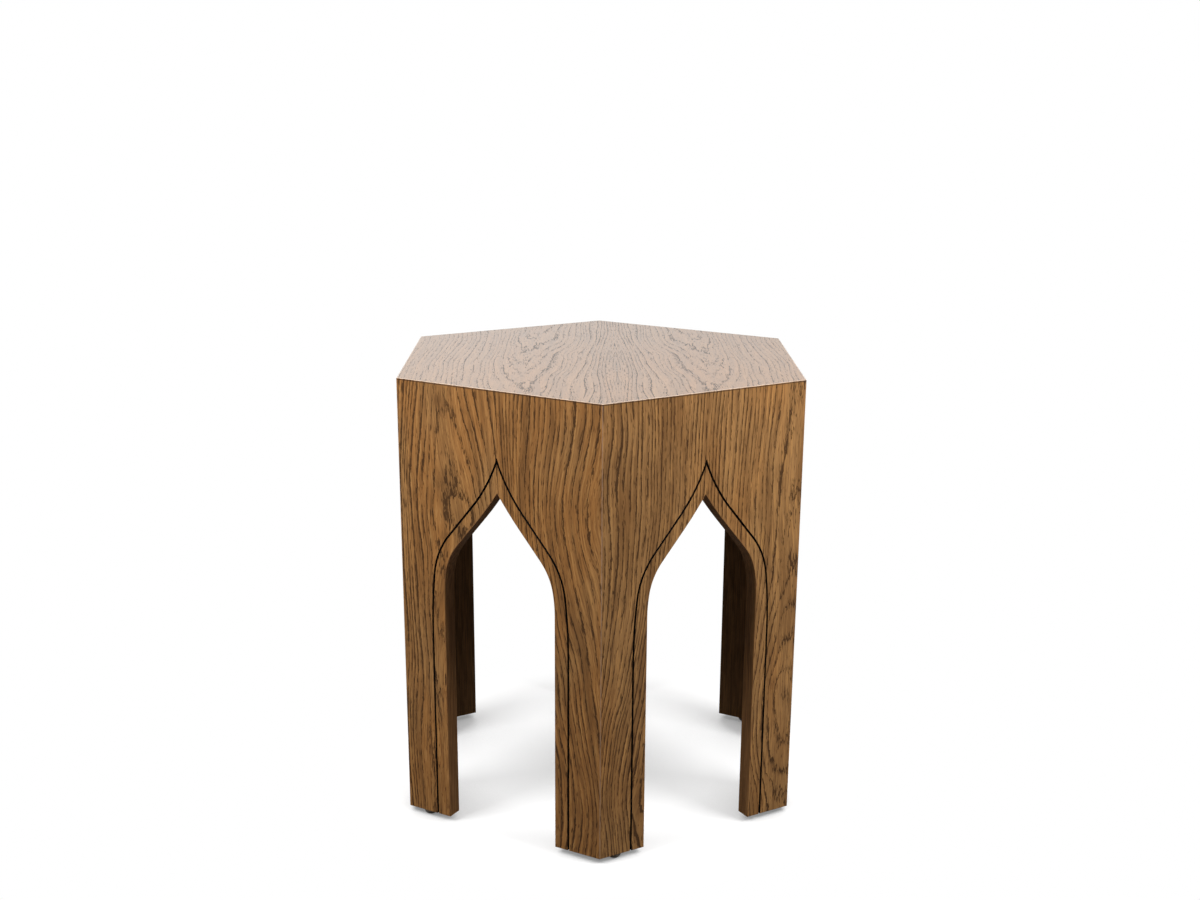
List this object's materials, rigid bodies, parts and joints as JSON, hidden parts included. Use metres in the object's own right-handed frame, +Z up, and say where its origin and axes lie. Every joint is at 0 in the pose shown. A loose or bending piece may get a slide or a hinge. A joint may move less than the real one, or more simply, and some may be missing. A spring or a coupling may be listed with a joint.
{
  "type": "tabouret",
  "caption": "Hexagonal side table with a pointed arch cut through each side panel, a routed line round the arch, and mitred legs on small domed glides.",
  "frame": {"origin": "on the floor below the middle of the top", "axes": "+Z up; a leg points to -Y (the front in the picture), and two side panels face +X and -X"},
  "size_m": [0.4374, 0.5048, 0.51],
  "materials": {
    "core_board": "sawn fibreboard core, stained dark where it shows; black in the groove",
    "oak_side_veneer": "flat-cut oak veneer, mid brown stain, dark open pores, satin lacquer",
    "oak_top_veneer": "flat-cut bookmatched oak veneer, mid brown stain, dark open pores, satin lacquer",
    "oak_edging": "dark stained oak edging, satin lacquer",
    "inner_veneer": "very dark stained balancing veneer, matt",
    "plywood_spline": "bare plywood strip",
    "glue_block_wood": "softwood block, stained dark with the inside",
    "glide_metal": "dark bronzed steel, worn smooth"
  },
  "bodies": {
    "root": {"top_board": "core_board", "top_underside_veneer": "inner_veneer", "top_veneer_left": "oak_top_veneer", "top_veneer_right": "oak_top_veneer", "right_front_core_board": "core_board", "right_front_face_veneer": "oak_side_veneer", "right_front_arch_border_veneer": "oak_side_veneer", "right_front_inner_veneer": "inner_veneer", "right_front_arch_edging_left": "oak_edging", "right_front_arch_edging_right": "oak_edging", "right_front_top_spline": "plywood_spline", "right_core_board": "core_board", "right_face_veneer": "oak_side_veneer", "right_arch_border_veneer": "oak_side_veneer", "right_inner_veneer": "inner_veneer", "right_arch_edging_left": "oak_edging", "right_arch_edging_right": "oak_edging", "right_top_spline": "plywood_spline", "right_back_core_board": "core_board", "right_back_face_veneer": "oak_side_veneer", "right_back_arch_border_veneer": "oak_side_veneer", "right_back_inner_veneer": "inner_veneer", "right_back_arch_edging_left": "oak_edging", "right_back_arch_edging_right": "oak_edging", "right_back_top_spline": "plywood_spline", "left_back_core_board": "core_board", "left_back_face_veneer": "oak_side_veneer", "left_back_arch_border_veneer": "oak_side_veneer", "left_back_inner_veneer": "inner_veneer", "left_back_arch_edging_left": "oak_edging", "left_back_arch_edging_right": "oak_edging", "left_back_top_spline": "plywood_spline", "left_core_board": "core_board", "left_face_veneer": "oak_side_veneer", "left_arch_border_veneer": "oak_side_veneer", "left_inner_veneer": "inner_veneer", "left_arch_edging_left": "oak_edging", "left_arch_edging_right": "oak_edging", "left_top_spline": "plywood_spline", "left_front_core_board": "core_board", "left_front_face_veneer": "oak_side_veneer", "left_front_arch_border_veneer": "oak_side_veneer", "left_front_inner_veneer": "inner_veneer", "left_front_arch_edging_left": "oak_edging", "left_front_arch_edging_right": "oak_edging", "left_front_top_spline": "plywood_spline", "front_leg_spline": "plywood_spline", "front_glue_block": "glue_block_wood", "right_front_leg_spline": "plywood_spline", "right_front_glue_block": "glue_block_wood", "right_back_leg_spline": "plywood_spline", "right_back_glue_block": "glue_block_wood", "back_leg_spline": "plywood_spline", "back_glue_block": "glue_block_wood", "left_back_leg_spline": "plywood_spline", "left_back_glue_block": "glue_block_wood", "left_front_leg_spline": "plywood_spline", "left_front_glue_block": "glue_block_wood", "nail_on_glides": "glide_metal"}
  },
  "joints": []
}
